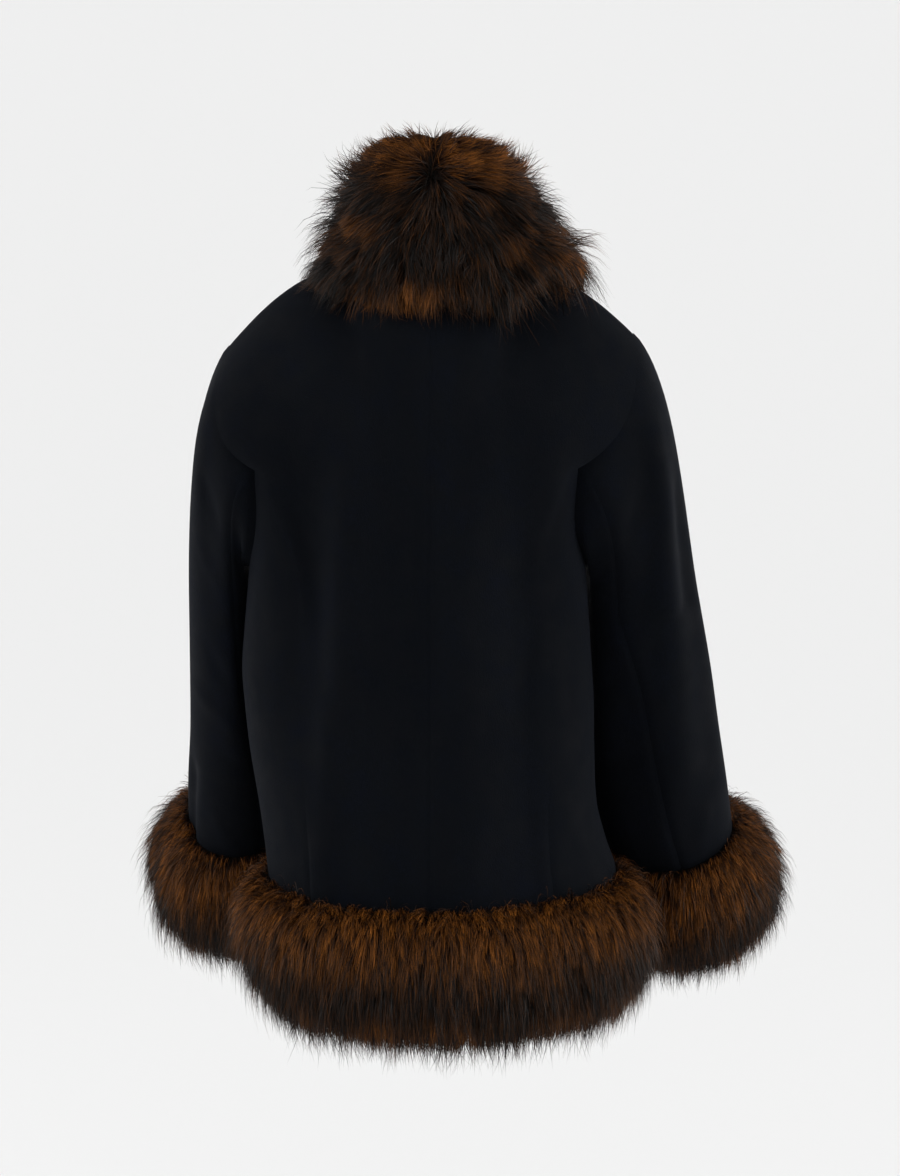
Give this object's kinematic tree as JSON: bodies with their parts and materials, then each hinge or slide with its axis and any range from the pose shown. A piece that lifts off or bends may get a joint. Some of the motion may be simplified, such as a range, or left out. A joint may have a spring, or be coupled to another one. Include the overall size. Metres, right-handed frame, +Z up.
{
  "type": "short wool coat",
  "caption": "Short dark wool coat in its worn form, hollow and open, with a fold-over fur collar, fur cuffs and a fur hem band.",
  "frame": {"origin": "middle of the neck's base, at the height of the shoulders, where the wearer holds the coat", "axes": "+Z up, the coat's front faces -Y, +X is the wearer's left"},
  "size_m": [0.6621, 0.4627, 0.896],
  "materials": {
    "wool": "matt felted wool",
    "fur": "long brown and black pile"
  },
  "bodies": {
    "root": {"back_left": "wool", "back_right": "wool", "side_left": "wool", "side_right": "wool", "front_left": "wool", "front_right": "wool", "upper_sleeve_left": "wool", "upper_sleeve_right": "wool", "under_sleeve_left": "wool", "under_sleeve_right": "wool", "collar_fur": "fur", "cuff_fur_left": "fur", "cuff_fur_right": "fur", "hem_fur": "fur"}
  },
  "joints": []
}
